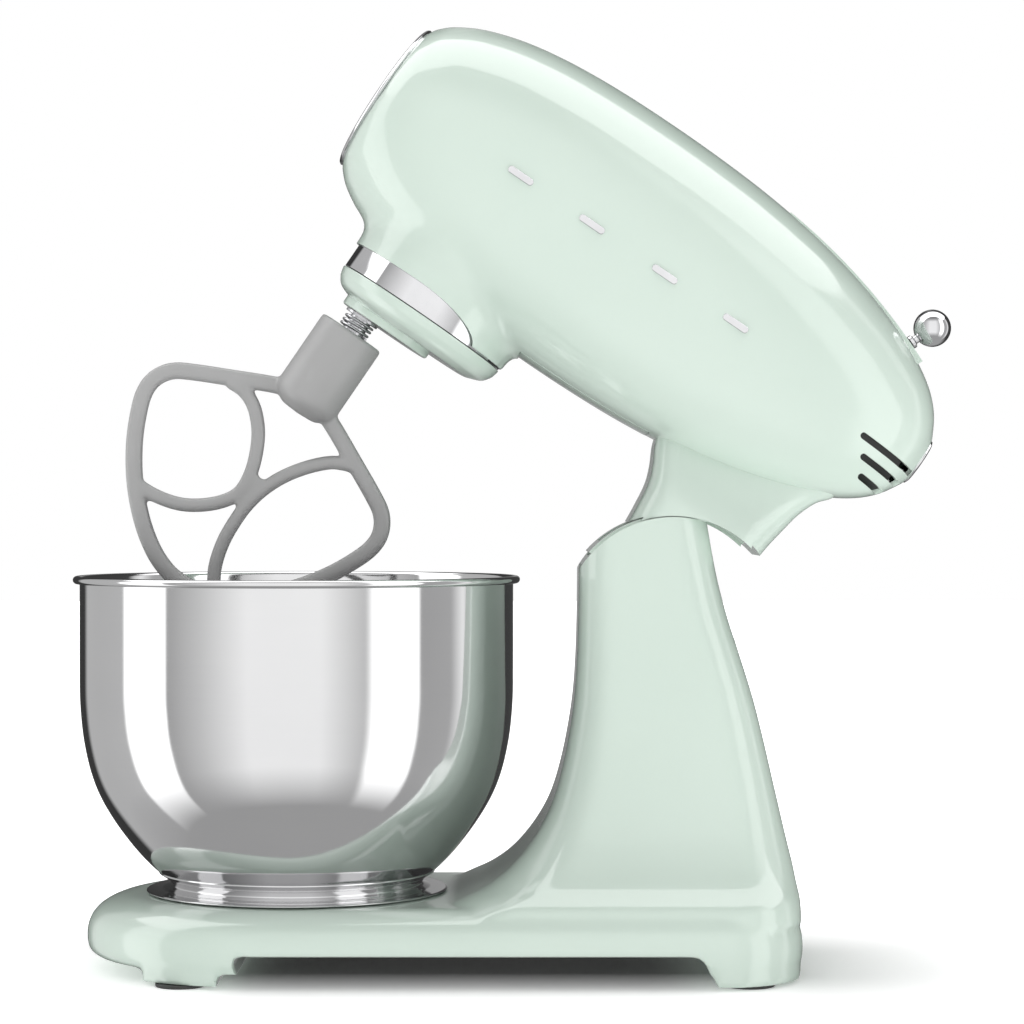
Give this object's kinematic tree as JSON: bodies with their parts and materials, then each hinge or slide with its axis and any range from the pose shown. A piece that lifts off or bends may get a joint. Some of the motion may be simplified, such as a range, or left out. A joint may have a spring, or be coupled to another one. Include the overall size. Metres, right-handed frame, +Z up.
{
  "type": "stand mixer",
  "caption": "Tilt-head stand mixer standing open: painted base and column, polished bowl, ovoid motor head, planetary hub and flat beater.",
  "frame": {"origin": "centre of the bounding box, on the surface that the mixer stands on", "axes": "+Z up; the front of the mixer faces -X; +Y across it"},
  "size_m": [0.435, 0.221, 0.4645],
  "materials": {
    "paint": "gloss painted aluminium casting",
    "polished_steel": "polished",
    "bright_chrome": "polished",
    "beater_cast": "satin cast",
    "rubber": "matte",
    "black_plastic": "moulded",
    "board": "coated board",
    "steel": "ground",
    "gear_steel": "machined, greased",
    "cast_frame": "as cast",
    "bronze": "machined",
    "laminations": "stacked and varnished"
  },
  "bodies": {
    "base": {"base_casting": "paint", "bottom_plate": "black_plastic", "bottom_plate_screws": "steel", "rubber_feet": "rubber", "bowl_seat_ring": "cast_frame", "bowl_seat_screws": "steel", "column_cover": "paint", "hinge_pin": "steel", "hinge_bushes": "bronze", "hinge_clips": "steel", "button_spring": "steel", "button_seat": "steel", "pawl_pin": "steel", "cord_gland": "rubber", "control_board": "board", "safety_switch": "black_plastic"},
    "release_button": {"release_button": "bright_chrome"},
    "latch_pawl": {"latch_pawl": "steel"},
    "bowl": {"bowl": "polished_steel", "bowl_foot": "polished_steel"},
    "head": {"head_shell": "paint", "neck_casting": "paint", "hinge_arm": "cast_frame", "underside_cover": "paint", "front_ring": "bright_chrome", "front_cover": "paint", "rear_cap": "paint", "rear_ring": "bright_chrome", "side_studs": "bright_chrome", "vent_grilles": "black_plastic", "speed_scale_strip": "paint", "slide_control": "black_plastic", "chrome_band": "bright_chrome", "hub_frame": "cast_frame", "ring_gear": "gear_steel", "main_bearings": "steel", "gear_case": "cast_frame", "gear_case_lid": "cast_frame", "idler_pin": "steel", "motor_stator": "laminations", "motor_bracket": "cast_frame", "motor_bearings": "steel", "brush_holders": "black_plastic"},
    "speed_lever": {"speed_slider": "black_plastic", "speed_knob": "bright_chrome"},
    "planet": {"planet_disc": "paint", "planet_shaft": "steel", "planet_gear": "gear_steel", "beater_bush": "bronze"},
    "idler": {"idler_gear": "gear_steel"},
    "motor_rotor": {"motor_pinion": "gear_steel", "armature_shaft": "steel", "armature": "laminations", "motor_fan": "black_plastic"},
    "beater_shaft": {"beater_shaft": "steel", "shaft_washer": "steel", "drive_pin": "steel", "beater_pinion": "gear_steel", "shaft_spring": "steel"},
    "beater": {"flat_beater": "beater_cast"}
  },
  "joints": [
    {"name": "head_tilt", "type": "hinge", "parent": "base", "child": "head", "pos_m": [0.07759, 0, 0.1691], "axis": [0, 1, 0], "range_deg": [-34.4, 0]},
    {"name": "speed_slide", "type": "hinge", "parent": "head", "child": "speed_lever", "pos_m": [-0.05994, 0, 0.1325], "axis": [0, 1, 0], "range_deg": [-13.6, 0]},
    {"name": "planet_spin", "type": "hinge", "parent": "head", "child": "planet", "pos_m": [-0.04812, 0, 0.31686], "axis": [0.565, 0, 0.8251], "continuous": true},
    {"name": "idler_spin", "type": "hinge", "parent": "head", "child": "idler", "pos_m": [0.00983, 0, 0.33778], "axis": [0.565, 0, 0.8251], "continuous": true},
    {"name": "motor_spin", "type": "hinge", "parent": "head", "child": "motor_rotor", "pos_m": [0.06284, 0, 0.36208], "axis": [0.565, 0, 0.8251], "continuous": true},
    {"name": "beater_spin", "type": "hinge", "parent": "planet", "child": "beater_shaft", "pos_m": [-0.07503, 0, 0.32074], "axis": [0.565, 0, 0.8251], "continuous": true},
    {"name": "beater_lift", "type": "slide", "parent": "beater_shaft", "child": "beater", "axis": [0.565, 0, 0.8251], "range_m": [0, 0.005], "stiffness_N_per_m": 600, "springref_m": -0.005, "deforming": ["shaft_spring"]},
    {"name": "button_press", "type": "slide", "parent": "base", "child": "release_button", "axis": [-0.9659, 0, -0.259], "range_m": [0, 0.0035], "stiffness_N_per_m": 800, "springref_m": -0.002, "deforming": ["button_spring"]},
    {"name": "pawl_turn", "type": "hinge", "parent": "base", "child": "latch_pawl", "pos_m": [0.08299, 0, 0.131], "axis": [0, 1, 0], "range_deg": [-11.6, 0]},
    {"name": "bowl_twist", "type": "hinge", "parent": "base", "child": "bowl", "pos_m": [-0.10701, 0, 0.04], "axis": [0, 0, 1], "range_deg": [0, 40]}
  ],
  "couplings": [
    {"joint": "idler_spin", "follows": "planet_spin", "ratio": -5},
    {"joint": "motor_spin", "follows": "planet_spin", "ratio": 20},
    {"joint": "beater_spin", "follows": "planet_spin", "ratio": -3.7857},
    {"joint": "pawl_turn", "follows": "button_press", "rad_per_m": -57}
  ]
}
